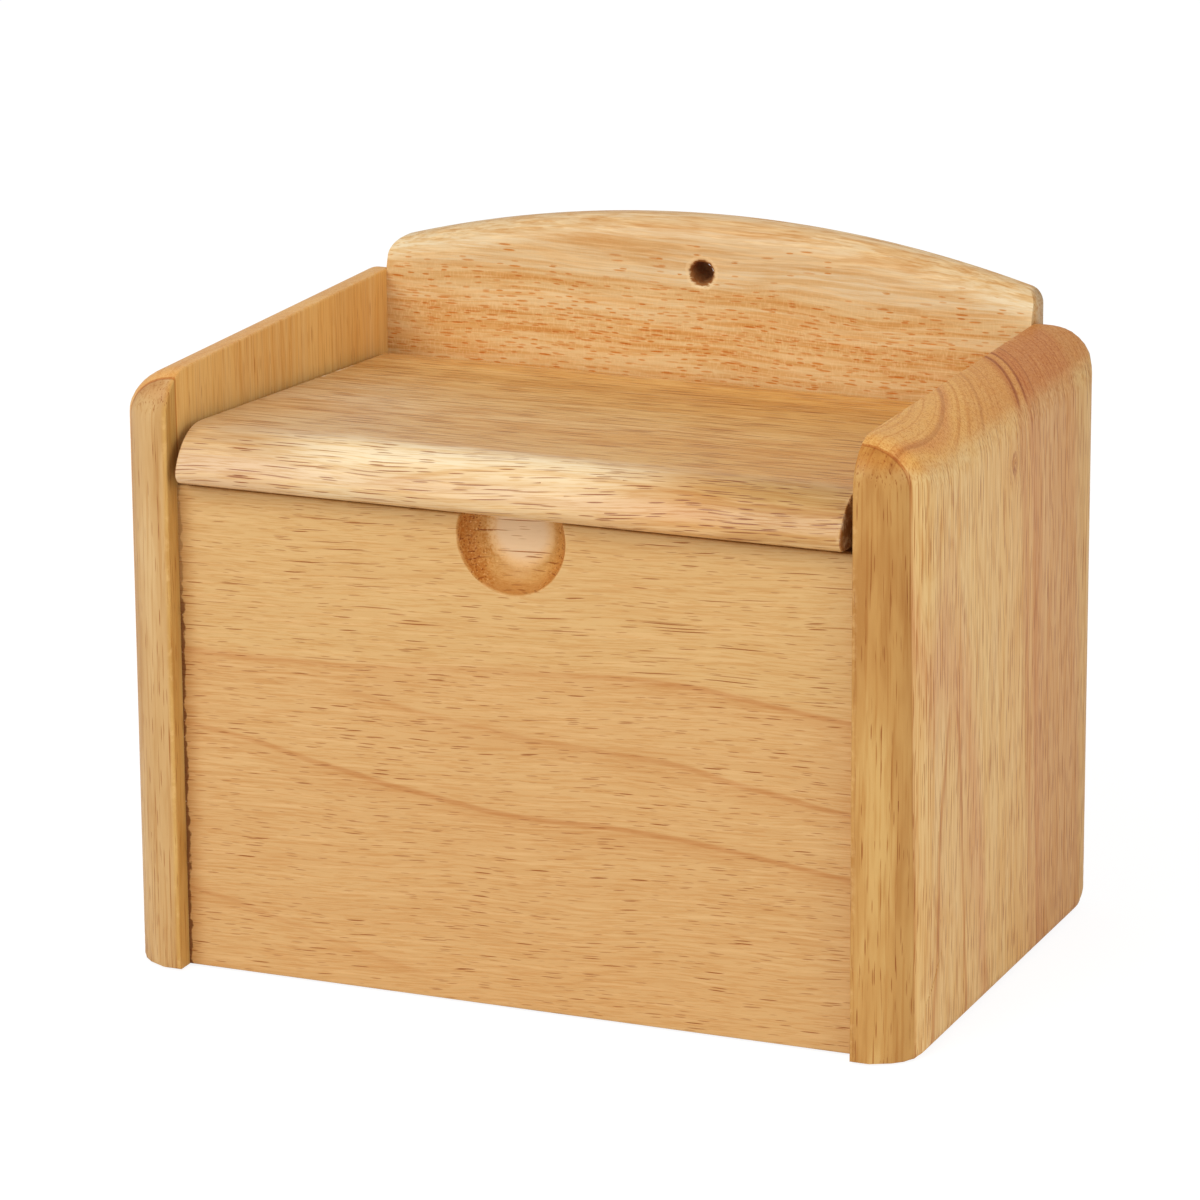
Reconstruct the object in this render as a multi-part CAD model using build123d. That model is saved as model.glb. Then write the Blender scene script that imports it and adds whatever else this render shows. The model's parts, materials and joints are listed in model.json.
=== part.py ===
"""Wooden salt box with a lid that turns on two hidden pins.

Two side panels carry a front board, an arched back board and a plywood bottom. The lid hangs between
the panels on steel pins and lifts at its rounded nose, over a finger scoop in the front board.
Millimetres: X to the right, Y to the back, Z up. The origin lies under the middle of the closed box.
"""
from build123d import *
from math import cos, radians, sin, sqrt, tan
import os

# Whole box
WIDTH = 180.0                   # over both side panels
DEPTH = 118.5                   # side panels, front to back
HEIGHT = 148.0                  # crown of the arched back board
NOSE_OVERHANG = 1.0             # lid nose in front of the side panels

# Side panels
PANEL_THICKNESS = 13.5
PANEL_HEIGHT = 131.0
PANEL_FRONT_CORNER = 10.0       # top corners, seen from the side
PANEL_BACK_CORNER = 7.5
PANEL_ROUND = 13.0              # outer front and top edges, over nearly the whole thickness
PANEL_ROUND_BACK = 8.0
PANEL_ROUND_BOTTOM = 2.5

# Front board and its finger scoop
FRONT_THICKNESS = 12.0
FRONT_RECESS = 4.5              # behind the front of the side panels
FRONT_HEIGHT = 106.6
SCOOP_CENTRE_HEIGHT = 102.4
SCOOP_RIM_RADIUS = 12.2
SCOOP_FLOOR_RADIUS = 5.0
SCOOP_DEPTH = 6.0

# Back board
BACK_THICKNESS = 8.0
ARCH_RADIUS = 275.0
ARCH_CORNER_RADIUS = 4.0
ARCH_FRONT_ROUND = 6.0
HANGING_HOLE_RADIUS = 2.5
HANGING_HOLE_DROP = 11.8        # below the crown
HANGING_HOLE_CHAMFER = 0.6     # on the front face only

# Lid
LID_THICKNESS = 12.0
LID_END_GAP = 2.2               # to each side panel
LID_REST_GAP = 0.3              # over the inner arris of the front board
LID_BACK_GAP = 1.2              # bullnose to back board
NOSE_ROUND = 12.0               # on top of the nose, over the whole thickness
NOSE_LOWER_RADIUS = 2.5
LID_TILT = 3.8                  # degrees that the nose lies higher than the hinge

# Hinge pins
PIN_RADIUS = 2.0
PIN_IN_PANEL = 8.0
PIN_IN_LID = 7.8
PIN_RUNNING_CLEARANCE = 0.08    # on the radius, in the lid
PIN_HELD_CLEARANCE = 0.03       # on the radius, in the panel
PIN_CHAMFER = 0.3
BORE_END_CLEARANCE = 0.5

# Bottom board in its groove
BOTTOM_THICKNESS = 5.0
BOTTOM_HEIGHT = 6.0             # underside above the ground
GROOVE_DEPTH = 4.0
GROOVE_END_CLEARANCE = 0.3
GROOVE_TOP_CLEARANCE = 0.2

# Glue dowels
DOWEL_RADIUS = 2.5
DOWEL_IN_PANEL = 7.0
DOWEL_IN_BOARD = 13.0
DOWEL_CLEARANCE = 0.05          # on the radius
DOWEL_CHAMFER = 0.6
FRONT_DOWELS = {"lower": 25.0, "upper": 80.0}
BACK_DOWELS = {"lower": 25.0, "middle": 70.0, "upper": 115.0}

# Planes that the pieces share
PANEL_OUTSIDE = WIDTH / 2
PANEL_INSIDE = PANEL_OUTSIDE - PANEL_THICKNESS
PANEL_FRONT = -(DEPTH - NOSE_OVERHANG) / 2
PANEL_BACK = PANEL_FRONT + DEPTH
FRONT_BOARD_FACE = PANEL_FRONT + FRONT_RECESS
FRONT_BOARD_INSIDE = FRONT_BOARD_FACE + FRONT_THICKNESS
BACK_BOARD_INSIDE = PANEL_BACK - BACK_THICKNESS
LID_END = PANEL_INSIDE - LID_END_GAP
BULLNOSE_RADIUS = LID_THICKNESS / 2
HINGE_Y = BACK_BOARD_INSIDE - LID_BACK_GAP - BULLNOSE_RADIUS
LID_SLOPE = radians(LID_TILT)
UNDERSIDE_FALL = (HINGE_Y - FRONT_BOARD_INSIDE) * tan(LID_SLOPE)
HINGE_Z = FRONT_HEIGHT + LID_REST_GAP - UNDERSIDE_FALL + BULLNOSE_RADIUS / cos(LID_SLOPE)
LID_REACH = (HINGE_Y - PANEL_FRONT + NOSE_OVERHANG) / cos(LID_SLOPE)
ARCH_CENTRE = HEIGHT - ARCH_RADIUS
OVERRUN = 20.0                  # how far an edge cutter runs past the board


def block(x_span, y_span, z_span):
    """A board or a pocket between two planes in each direction."""
    x0, x1 = x_span
    y0, y1 = y_span
    z0, z1 = z_span
    corner = (Align.MIN, Align.MIN, Align.MIN)
    return Pos(x0, y0, z0) * Box(x1 - x0, y1 - y0, z1 - z0, align=corner)


def rod(x_start, x_end, y, z, radius):
    """A round bar or bore along X."""
    seat = Plane(origin=(x_start, y, z), z_dir=(1, 0, 0))
    return extrude(seat * Circle(radius), amount=x_end - x_start)


def corner_waste(radius):
    """Section that a round-over bit takes off a square arris at the origin."""
    waste = Pos(-1, -1) * Rectangle(radius + 1, radius + 1, align=(Align.MIN, Align.MIN))
    return waste - Pos(radius, radius) * Circle(radius)


def edge_cutter(start, end, radius):
    """Straight round-over along an outer arris of the right panel, the board on the left hand of the cut."""
    run = Vector(*end) - Vector(*start)
    along = run.normalized()
    seat = Plane(origin=Vector(*start) - along * OVERRUN, x_dir=(-1, 0, 0), z_dir=along)
    return extrude(seat * corner_waste(radius), amount=run.length + 2 * OVERRUN)


def corner_cutter(edge_y, facing, corner_radius, round_radius):
    """The same round-over, swung about a top corner's axis; facing is -1 at the front, 1 at the back."""
    hub_z = PANEL_HEIGHT - corner_radius
    seat = Plane(origin=(PANEL_OUTSIDE, edge_y, hub_z), x_dir=(-1, 0, 0), z_dir=(0, 0, facing))
    up_to_axis = Pos(-1, -1) * Rectangle(round_radius + 1, corner_radius + 1, align=(Align.MIN, Align.MIN))
    swing = Axis((0, edge_y - facing * corner_radius, hub_z), (facing, 0, 0))
    return revolve(seat * (corner_waste(round_radius) & up_to_axis), swing, 90)


def groove():
    """One pocket for the bottom board, cut into all four boards and stopped inside each panel."""
    reach = PANEL_INSIDE + GROOVE_DEPTH
    y_span = (FRONT_BOARD_INSIDE - GROOVE_DEPTH, BACK_BOARD_INSIDE + GROOVE_DEPTH)
    z_span = (BOTTOM_HEIGHT, BOTTOM_HEIGHT + BOTTOM_THICKNESS + GROOVE_TOP_CLEARANCE)
    return block((-reach, reach), y_span, z_span)


def dowel_places():
    """Name, depth and height of each dowel on one side of the box."""
    front_y = FRONT_BOARD_FACE + FRONT_THICKNESS / 2
    back_y = PANEL_BACK - BACK_THICKNESS / 2
    front = [("front", level, front_y, z) for level, z in FRONT_DOWELS.items()]
    back = [("back", level, back_y, z) for level, z in BACK_DOWELS.items()]
    return front + back


def dowel_holes(board):
    """Right-hand holes for the dowels of one board, or of both with board None."""
    x_start = PANEL_INSIDE - DOWEL_IN_BOARD - BORE_END_CLEARANCE
    x_end = PANEL_INSIDE + DOWEL_IN_PANEL
    radius = DOWEL_RADIUS + DOWEL_CLEARANCE
    places = [place for place in dowel_places() if board in (None, place[0])]
    return [rod(x_start, x_end, y, z, radius) for _, _, y, z in places]


def dowel(y, z):
    """Beech dowel across the joint plane, with chamfered ends."""
    pin = rod(PANEL_INSIDE - DOWEL_IN_BOARD, PANEL_INSIDE + DOWEL_IN_PANEL, y, z, DOWEL_RADIUS)
    return chamfer(pin.edges().filter_by(GeomType.CIRCLE), DOWEL_CHAMFER)


def side_panel():
    """Right panel: outer arrises rounded, the rounds carried about the top corners, inner arrises square."""
    front_foot = (PANEL_OUTSIDE, PANEL_FRONT, 0)
    back_foot = (PANEL_OUTSIDE, PANEL_BACK, 0)
    back_top = (PANEL_OUTSIDE, PANEL_BACK, PANEL_HEIGHT)
    front_top = (PANEL_OUTSIDE, PANEL_FRONT, PANEL_HEIGHT)
    outline = Pos(PANEL_FRONT, 0) * Rectangle(DEPTH, PANEL_HEIGHT, align=(Align.MIN, Align.MIN))
    front_vertex, back_vertex = outline.vertices().group_by(Axis.Y)[-1].sort_by(Axis.X)
    outline = fillet(front_vertex, PANEL_FRONT_CORNER)
    outline = fillet(outline.vertices().sort_by_distance(back_vertex)[0], PANEL_BACK_CORNER)
    panel = extrude(Plane.YZ.offset(PANEL_INSIDE) * outline, amount=PANEL_THICKNESS)
    panel -= edge_cutter(front_top, front_foot, PANEL_ROUND)
    panel -= edge_cutter(front_foot, back_foot, PANEL_ROUND_BOTTOM)
    panel -= edge_cutter(back_foot, back_top, PANEL_ROUND_BACK)
    panel -= edge_cutter(back_top, front_top, PANEL_ROUND)
    panel -= corner_cutter(PANEL_FRONT, -1, PANEL_FRONT_CORNER, PANEL_ROUND)
    panel -= corner_cutter(PANEL_BACK, 1, PANEL_BACK_CORNER, PANEL_ROUND_BACK)
    panel -= groove()
    panel -= dowel_holes(None)
    held_radius = PIN_RADIUS + PIN_HELD_CLEARANCE
    return panel - rod(PANEL_INSIDE - 1, PANEL_INSIDE + PIN_IN_PANEL, HINGE_Y, HINGE_Z, held_radius)


def finger_scoop():
    """Dish with a flat floor and a cove wall, turned about its own axis square to the front."""
    with_lip = 1.0
    floor_start = (0, SCOOP_DEPTH)
    floor_end = (SCOOP_FLOOR_RADIUS, SCOOP_DEPTH)
    rim = (SCOOP_RIM_RADIUS, 0)
    lip = (SCOOP_RIM_RADIUS, -with_lip)
    section = make_face(
        Line(floor_start, floor_end)
        + TangentArc(floor_end, rim, tangent=(1, 0))
        + Line(rim, lip)
        + Line(lip, (0, -with_lip))
        + Line((0, -with_lip), floor_start)
    )
    centre = (0, FRONT_BOARD_FACE, SCOOP_CENTRE_HEIGHT)
    return revolve(Plane(origin=centre, z_dir=(0, 0, 1)) * section, Axis(centre, (0, 1, 0)))


def front_board():
    """Board between the panels, grooved for the bottom, with the scoop breaking its top edge."""
    board = block((-PANEL_INSIDE, PANEL_INSIDE), (FRONT_BOARD_FACE, FRONT_BOARD_INSIDE), (0, FRONT_HEIGHT))
    board -= finger_scoop()
    return both_sides_drilled(board - groove(), "front")


def both_sides_drilled(board, name):
    """Dowel holes in the right end of a board and their mirror images in the left end."""
    holes = dowel_holes(name)
    return board - holes - [mirror(hole, about=Plane.YZ) for hole in holes]


def back_board():
    """Board between the panels with an arched top, rounded along its front edge, and a hanging hole."""
    end_height = ARCH_CENTRE + sqrt(ARCH_RADIUS**2 - PANEL_INSIDE**2)
    left, right = -PANEL_INSIDE, PANEL_INSIDE
    outline = make_face(
        Line((left, 0), (right, 0))
        + Line((right, 0), (right, end_height))
        + ThreePointArc((right, end_height), (0, HEIGHT), (left, end_height))
        + Line((left, end_height), (left, 0))
    )
    outline = fillet(outline.vertices().group_by(Axis.Y)[-1], ARCH_CORNER_RADIUS)
    board = extrude(Plane.XZ.offset(-PANEL_BACK) * outline, amount=BACK_THICKNESS)
    crown = Plane(origin=(0, BACK_BOARD_INSIDE, HEIGHT), x_dir=(0, 1, 0), z_dir=(-1, 0, 0))
    arch_axis = Axis((0, 0, ARCH_CENTRE), (0, 1, 0))
    board -= revolve(crown * corner_waste(ARCH_FRONT_ROUND), arch_axis)
    hole = Rot(90, 0, 0) * Cylinder(HANGING_HOLE_RADIUS, 2 * OVERRUN)
    board -= Pos(0, BACK_BOARD_INSIDE, HEIGHT - HANGING_HOLE_DROP) * hole
    circles = board.edges().filter_by(GeomType.CIRCLE)
    rims = circles.filter_by(lambda edge: abs(edge.radius - HANGING_HOLE_RADIUS) < 1e-6)
    board = chamfer(rims.sort_by(Axis.Y)[0], HANGING_HOLE_CHAMFER)
    return both_sides_drilled(board - groove(), "back")


def bottom_board():
    """Plywood sheet that rests on the lower wall of the groove on all four sides."""
    reach = PANEL_INSIDE + GROOVE_DEPTH - GROOVE_END_CLEARANCE
    y_front = FRONT_BOARD_INSIDE - GROOVE_DEPTH + GROOVE_END_CLEARANCE
    y_back = BACK_BOARD_INSIDE + GROOVE_DEPTH - GROOVE_END_CLEARANCE
    return block((-reach, reach), (y_front, y_back), (BOTTOM_HEIGHT, BOTTOM_HEIGHT + BOTTOM_THICKNESS))


def lid():
    """Lid from the bullnose on the hinge line to the nose, rounded on top and a little below."""
    blank = Pos(LID_REACH / 2, 0) * Rectangle(LID_REACH, LID_THICKNESS) + Circle(BULLNOSE_RADIUS)
    section = blank - Pos(LID_REACH, BULLNOSE_RADIUS) * Rot(0, 0, 180) * corner_waste(NOSE_ROUND)
    under_nose = section.vertices().sort_by_distance((LID_REACH, -BULLNOSE_RADIUS, 0))[0]
    section = fillet(under_nose, NOSE_LOWER_RADIUS)
    towards_nose = (0, -cos(LID_SLOPE), sin(LID_SLOPE))
    seat = Plane(origin=(LID_END, HINGE_Y, HINGE_Z), x_dir=towards_nose, z_dir=(-1, 0, 0))
    board = extrude(seat * section, amount=2 * LID_END)
    bore_start = LID_END - (PIN_IN_LID + BORE_END_CLEARANCE)
    bore = rod(bore_start, LID_END + 1, HINGE_Y, HINGE_Z, PIN_RADIUS + PIN_RUNNING_CLEARANCE)
    return board - bore - mirror(bore, about=Plane.YZ)


def hinge_pin():
    """Steel pin, held in the blind hole of the right panel, free in the lid."""
    pin = rod(LID_END - PIN_IN_LID, PANEL_INSIDE + PIN_IN_PANEL, HINGE_Y, HINGE_Z, PIN_RADIUS)
    return chamfer(pin.edges().filter_by(GeomType.CIRCLE), PIN_CHAMFER)


right_panel = side_panel()
right_pin = hinge_pin()
pieces = {
    "side_panel_right": right_panel,
    "side_panel_left": mirror(right_panel, about=Plane.YZ),
    "front_board": front_board(),
    "back_board": back_board(),
    "bottom_board": bottom_board(),
    "lid": lid(),
    "hinge_pin_right": right_pin,
    "hinge_pin_left": mirror(right_pin, about=Plane.YZ),
}
for board_name, level, y, z in dowel_places():
    right_dowel = dowel(y, z)
    pieces[f"dowel_{board_name}_right_{level}"] = right_dowel
    pieces[f"dowel_{board_name}_left_{level}"] = mirror(right_dowel, about=Plane.YZ)

os.makedirs("parts", exist_ok=True)
for node, solid in pieces.items():
    export_step(solid, f"parts/{node}.step")
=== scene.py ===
"""Looks of a lacquered wooden salt box. The studio is laid out in metres, the pieces in millimetres."""
import json
from math import cos, pi, radians, sin

import bmesh
import bpy
import numpy as np
from mathutils import Matrix, Vector


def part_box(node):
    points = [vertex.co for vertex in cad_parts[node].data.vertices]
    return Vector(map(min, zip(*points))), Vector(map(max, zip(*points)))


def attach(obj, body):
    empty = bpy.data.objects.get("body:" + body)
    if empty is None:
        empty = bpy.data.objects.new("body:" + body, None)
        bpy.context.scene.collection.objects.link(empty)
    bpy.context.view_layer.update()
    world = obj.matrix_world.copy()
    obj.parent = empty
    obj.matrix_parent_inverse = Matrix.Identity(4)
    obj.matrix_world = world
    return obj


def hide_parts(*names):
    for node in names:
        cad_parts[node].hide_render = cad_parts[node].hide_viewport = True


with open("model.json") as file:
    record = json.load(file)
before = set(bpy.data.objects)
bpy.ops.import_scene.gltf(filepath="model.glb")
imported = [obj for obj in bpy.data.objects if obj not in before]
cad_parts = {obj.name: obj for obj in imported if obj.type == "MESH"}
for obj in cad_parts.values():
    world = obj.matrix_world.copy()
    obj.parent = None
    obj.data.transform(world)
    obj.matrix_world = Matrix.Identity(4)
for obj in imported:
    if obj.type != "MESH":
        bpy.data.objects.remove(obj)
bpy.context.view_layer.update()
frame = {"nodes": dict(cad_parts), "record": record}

scene = bpy.context.scene


# Studio. The box stands on a pale sweep of paper between a broad front window, a smaller
# right-hand one and an even white surround, seen through a long lens from the front right.
scene.view_settings.view_transform = "Standard"

SENSOR, FOCAL_PIXELS, FRAME_PIXELS = 36.0, 5855.4, 1200
CAMERA_DISTANCE = 1.26272
azimuth, elevation, roll = radians(22.88), radians(15.85), radians(-0.37)
aim = Vector((-0.00351, 0.00125, 0.07432))
backward = Vector((sin(azimuth) * cos(elevation), -cos(azimuth) * cos(elevation), sin(elevation)))
level = Vector((cos(azimuth), sin(azimuth), 0))
rightward = level * cos(roll) + backward.cross(level) * sin(roll)
camera = bpy.data.objects.new("camera", bpy.data.cameras.new("camera"))
camera.matrix_world = Matrix.Translation(aim + CAMERA_DISTANCE * backward) @ Matrix(
    (rightward, backward.cross(rightward), backward)).transposed().to_4x4()
camera.data.sensor_width = SENSOR
camera.data.lens = SENSOR * FOCAL_PIXELS / FRAME_PIXELS
camera.data.clip_end = 50
scene.collection.objects.link(camera)
scene.camera = camera


LAMP_AIM = Vector((0, 0, 0.07))


def soft_window(name, place, width, height, watts):
    """Rectangular lamp at place, turned to LAMP_AIM, the middle of the box."""
    lamp = bpy.data.objects.new(name, bpy.data.lights.new(name, "AREA"))
    lamp.data.shape = "RECTANGLE"
    lamp.data.size, lamp.data.size_y = width, height
    lamp.data.energy = watts
    lamp.location = place
    lamp.rotation_euler = (Vector(place) - LAMP_AIM).to_track_quat("Z", "Y").to_euler()
    scene.collection.objects.link(lamp)


soft_window("front_window", (-0.55, -1.25, 1.15), 1.1, 0.9, 15.0)
soft_window("right_window", (1.5, -0.5, 0.8), 0.9, 0.9, 7.0)


def paint(red, green, blue):
    """Screen colour from 0 to 255 as the linear colour that shaders take."""
    screen = np.array([red, green, blue]) / 255.0
    linear = np.where(screen <= 0.04045, screen / 12.92, ((screen + 0.055) / 1.055) ** 2.4)
    return (*linear, 1.0)


class Finish:
    """A material whose nodes are added one call at a time, each call giving back an output to go on with."""

    def __init__(self, name):
        self.material = bpy.data.materials.new(name)
        self.material.use_nodes = True
        self.tree = self.material.node_tree
        self.tree.nodes.clear()

    def node(self, kind, inputs, out=0, **settings):
        """Adds one node; inputs maps socket names or numbers to outputs or fixed values."""
        new = self.tree.nodes.new("ShaderNode" + kind)
        for key, value in settings.items():
            setattr(new, key, value)
        for socket, value in inputs.items():
            if isinstance(value, bpy.types.NodeSocket):
                self.tree.links.new(value, new.inputs[socket])
            else:
                new.inputs[socket].default_value = value
        return new.outputs[out]

    def noise(self, scale, detail, **settings):
        """Noise from 0 to 1 that is fixed to the piece, with scale features per metre."""
        place = self.node("TexCoord", {}, out="Object")
        return self.node("TexNoise", {"Vector": place, "Scale": scale, "Detail": detail, **settings})

    def sum(self, operation, *values):
        """One Math node over one, two or three values."""
        return self.node("Math", dict(enumerate(values)), operation=operation)

    def apart(self, one, other):
        """Distance made of two offsets: the root of the sum of their squares."""
        return self.sum("SQRT", self.sum("ADD", self.sum("MULTIPLY", one, one),
                                         self.sum("MULTIPLY", other, other)))

    def step(self, value, low, high, to_low=0.0, to_high=1.0):
        """Smooth step of value from low to high, between two results."""
        return self.node("MapRange", {0: value, 1: low, 2: high, 3: to_low, 4: to_high},
                         interpolation_type="SMOOTHSTEP")

    def fall(self, value, low, high):
        """Smooth step of value from low to high, from one down to nothing."""
        return self.step(value, low, high, 1.0, 0.0)

    def blend(self, share, under, over, how="MIX"):
        """Colour under with colour over laid on it by share."""
        return self.node("Mix", {0: share, 6: under, 7: over}, out=2, data_type="RGBA", blend_type=how)

    def bands(self, position, *stops, how="EASE"):
        """Colour at a position from 0 to 1, by stops of (place, grey) or (place, red, green, blue)."""
        ramp = self.tree.nodes.new("ShaderNodeValToRGB")
        self.tree.links.new(position, ramp.inputs[0])
        ramp.color_ramp.interpolation = how
        while len(ramp.color_ramp.elements) < len(stops):
            ramp.color_ramp.elements.new(1.0)
        for element, (place, *tone) in zip(ramp.color_ramp.elements, stops):
            element.position = place
            element.color = paint(*tone) if len(tone) == 3 else (*tone * 3, 1)
        return ramp.outputs[0]

    def close(self, shader):
        """Joins the finished shader to the surface and gives back the material."""
        self.tree.links.new(shader, self.tree.nodes.new("ShaderNodeOutputMaterial").inputs[0])
        return self.material


SURROUND_LIGHT, SURROUND_SEEN = 0.62, 1.0
PAPER_RADIUS, PAPER_DROP = 14.0, 0.0004
world = bpy.data.worlds.new("surround")
world.use_nodes = True
scene.world = world
surround = world.node_tree.nodes["Background"]
glow = world.node_tree.nodes.new("ShaderNodeMapRange")
seen = world.node_tree.nodes.new("ShaderNodeLightPath")
world.node_tree.links.new(seen.outputs["Is Camera Ray"], glow.inputs[0])
glow.inputs[3].default_value = SURROUND_LIGHT
glow.inputs[4].default_value = SURROUND_SEEN
world.node_tree.links.new(glow.outputs[0], surround.inputs["Strength"])
surround.inputs["Color"].default_value = (1, 1, 1, 1)

paper = Finish("white_paper")
matt = paper.node("BsdfDiffuse", {"Color": (0.92, 0.92, 0.92, 1)})
bright = paper.node("Emission", {"Color": (1, 1, 1, 1), "Strength": 1.1})
by_eye = paper.sum("MULTIPLY", paper.node("LightPath", {}, out="Is Camera Ray"), 0.8)
paper.close(paper.node("MixShader", {0: by_eye, 1: matt, 2: bright}))
bpy.ops.mesh.primitive_circle_add(vertices=96, radius=PAPER_RADIUS, fill_type="NGON",
                                  location=(0, 0, -PAPER_DROP))
floor = bpy.context.object
floor.name = "paper_floor"
floor.data.materials.append(paper.material)


# Side panels: two lacquered rubberwood boards, grain upright, each glued up with a warmer
# strip along its front, shaped with a deep round-over outside and a barely eased inner edge.
PER_METRE = 1000.0
WELD, SLIVER = 2e-6, 1e-6


def span(node):
    """Lowest and highest corner of a CAD node, in millimetres."""
    low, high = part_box(node)
    return np.array(low) * PER_METRE, np.array(high) * PER_METRE


def fill_mesh(name, points, quads, **marks):
    """Mesh object from arrays of points in millimetres and of four corner numbers per face; each further
    array becomes a value per point that the finish can read."""
    mesh = bpy.data.meshes.new(name)
    mesh.from_pydata((points / PER_METRE).tolist(), [], quads.tolist())
    for mark, values in marks.items():
        mesh.attributes.new(mark, "FLOAT", "POINT").data.foreach_set("value", values.astype(np.float32))
    mesh.polygons.foreach_set("use_smooth", np.ones(len(mesh.polygons), bool))
    mesh.update()
    piece = bpy.data.objects.new(name, mesh)
    scene.collection.objects.link(piece)
    return piece


def close_up(piece):
    """Merges the points of poles and seams, drops the empty faces and turns the normals out."""
    work = bmesh.new()
    work.from_mesh(piece.data)
    bmesh.ops.remove_doubles(work, verts=work.verts, dist=WELD)
    bmesh.ops.dissolve_degenerate(work, edges=work.edges, dist=SLIVER)
    bmesh.ops.recalc_face_normals(work, faces=work.faces)
    work.to_mesh(piece.data)
    work.free()
    piece.data.update()
    return piece


def grid_quads(rows, columns):
    """Corner numbers of a grid of rows by columns points whose columns close into a ring."""
    row, column = np.meshgrid(np.arange(rows - 1), np.arange(columns), indexing="ij")
    following = (column + 1) % columns
    return np.stack([row * columns + column, row * columns + following,
                     (row + 1) * columns + following, (row + 1) * columns + column], -1).reshape(-1, 4)


def round_over(distance, radius):
    """Depth taken off a face at a distance from its edge: radius less a quarter circle's height there."""
    inside = np.clip(radius - distance, 0, radius)
    return radius - np.sqrt(radius**2 - inside**2)


def rounded_outline(corners, radii, spacing=2.0, arc_points=14):
    """Loop round a polygon, anticlockwise, with straight runs at even spacing and each corner an arc of
    its radius."""
    corners = np.array(corners, float)
    loop = []
    for here, before, after, radius in zip(corners, np.roll(corners, 1, 0), np.roll(corners, -1, 0), radii):
        arriving = (here - before) / np.linalg.norm(here - before)
        leaving = (after - here) / np.linalg.norm(after - here)
        turn = np.arccos(np.clip(arriving @ leaving, -1, 1))
        cut = radius * np.tan(turn / 2)
        hub = here - arriving * cut + radius * np.array([-arriving[1], arriving[0]])
        spoke = (here - arriving * cut - hub)[:, None]
        angles = np.linspace(0, turn, arc_points)
        swing = np.array([[np.cos(angles), -np.sin(angles)], [np.sin(angles), np.cos(angles)]])
        loop.append(hub + np.einsum("ijk,jl->ki", swing, spoke))
    filled = []
    for arc, following in zip(loop, loop[1:] + loop[:1]):
        run = following[0] - arc[-1]
        count = max(2, int(np.linalg.norm(run) / spacing))
        filled += [arc, arc[-1] + run * np.linspace(0, 1, count + 1)[1:-1, None]]
    return np.concatenate(filled)


def board_shell(outline, inner, distances, fractions, near, far):
    """Closed shell of a board seen square on: rays run from the outline to the inner loop, with points at
    set distances from the edge and at fractions of what is left, and near and far give the faces' height."""
    ahead, behind = np.roll(outline, -1, 0), np.roll(outline, 1, 0)
    along = (ahead - behind) / np.linalg.norm(ahead - behind, axis=1)[:, None]
    inward = np.stack([-along[:, 1], along[:, 0]], -1)
    ray = inner - outline
    length = np.linalg.norm(ray, axis=1)
    lean = np.clip(np.einsum("ij,ij->i", ray, inward) / length, 0.25, 1)
    edge = np.array(distances)[:, None] / (lean * length)[None]
    rest = edge[-1] + (1 - edge[-1]) * np.array(fractions)[:, None]
    shares = np.concatenate([edge, rest])
    places = outline[None] + ray[None] * shares[..., None]
    flat = places.reshape(-1, 2)
    front = near(flat).reshape(shares.shape)
    back = far(flat).reshape(shares.shape)
    face = np.concatenate([places, front[..., None]], -1)
    rear = np.concatenate([places, back[..., None]], -1)
    return np.concatenate([face[::-1], rear])


panel_low, panel_high = span("side_panel_right")
PANEL_FRONT, PANEL_BACK, PANEL_TOP = panel_low[1], panel_high[1], panel_high[2]
PANEL_ROUND, PANEL_ROUND_BACK, PANEL_ROUND_FOOT = 13.0, 8.0, 2.5
CORNER_FRONT, CORNER_BACK, CORNER_FOOT, TOE = 10.0, 7.5, 9.5, 0.6
INNER_EASE = 0.42


def panel_outline():
    """Edge of a panel seen from the side, with its rounded top corners."""
    corners = [(PANEL_FRONT, 0), (PANEL_BACK, 0), (PANEL_BACK, PANEL_TOP), (PANEL_FRONT, PANEL_TOP)]
    return rounded_outline(corners, [TOE, CORNER_FOOT, CORNER_BACK, CORNER_FRONT])


def corner_distance(y, z, corner_y, corner_z, radius):
    """Distance in from a rounded corner of the panel, and a large number away from it."""
    hub_y = corner_y - np.copysign(radius, corner_y)
    hub_z = np.where(corner_z > 0, corner_z - radius, radius)
    inside = ((y - hub_y) * corner_y > 0) & ((z - hub_z) * (corner_z - hub_z) > 0)
    return np.where(inside, np.maximum(0, radius - np.hypot(y - hub_y, z - hub_z)), 99.0)


def corner_distances(y, z):
    """Distances in from the front top, back top and back foot corner."""
    return (corner_distance(y, z, PANEL_FRONT, PANEL_TOP, CORNER_FRONT),
            corner_distance(y, z, PANEL_BACK, PANEL_TOP, CORNER_BACK),
            corner_distance(y, z, PANEL_BACK, 0.0, CORNER_FOOT))


def panel_outside(places):
    """Outer face: the deepest of the front, top, back and foot round-overs and of the swung corners."""
    y, z = places.T
    front_corner, back_corner, foot_corner = corner_distances(y, z)
    turned = np.arctan2(CORNER_FOOT - z, y - (PANEL_BACK - CORNER_FOOT)) / (pi / 2)
    foot_round = PANEL_ROUND_BACK + (PANEL_ROUND_FOOT - PANEL_ROUND_BACK) * np.clip(turned, 0, 1)
    cuts = [
        round_over(y - PANEL_FRONT, PANEL_ROUND),
        round_over(PANEL_TOP - z, PANEL_ROUND),
        round_over(PANEL_BACK - y, PANEL_ROUND_BACK),
        round_over(z, PANEL_ROUND_FOOT),
        round_over(front_corner, PANEL_ROUND),
        round_over(back_corner, PANEL_ROUND_BACK),
        round_over(foot_corner, foot_round),
    ]
    return panel_high[0] - np.max(cuts, 0)


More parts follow.
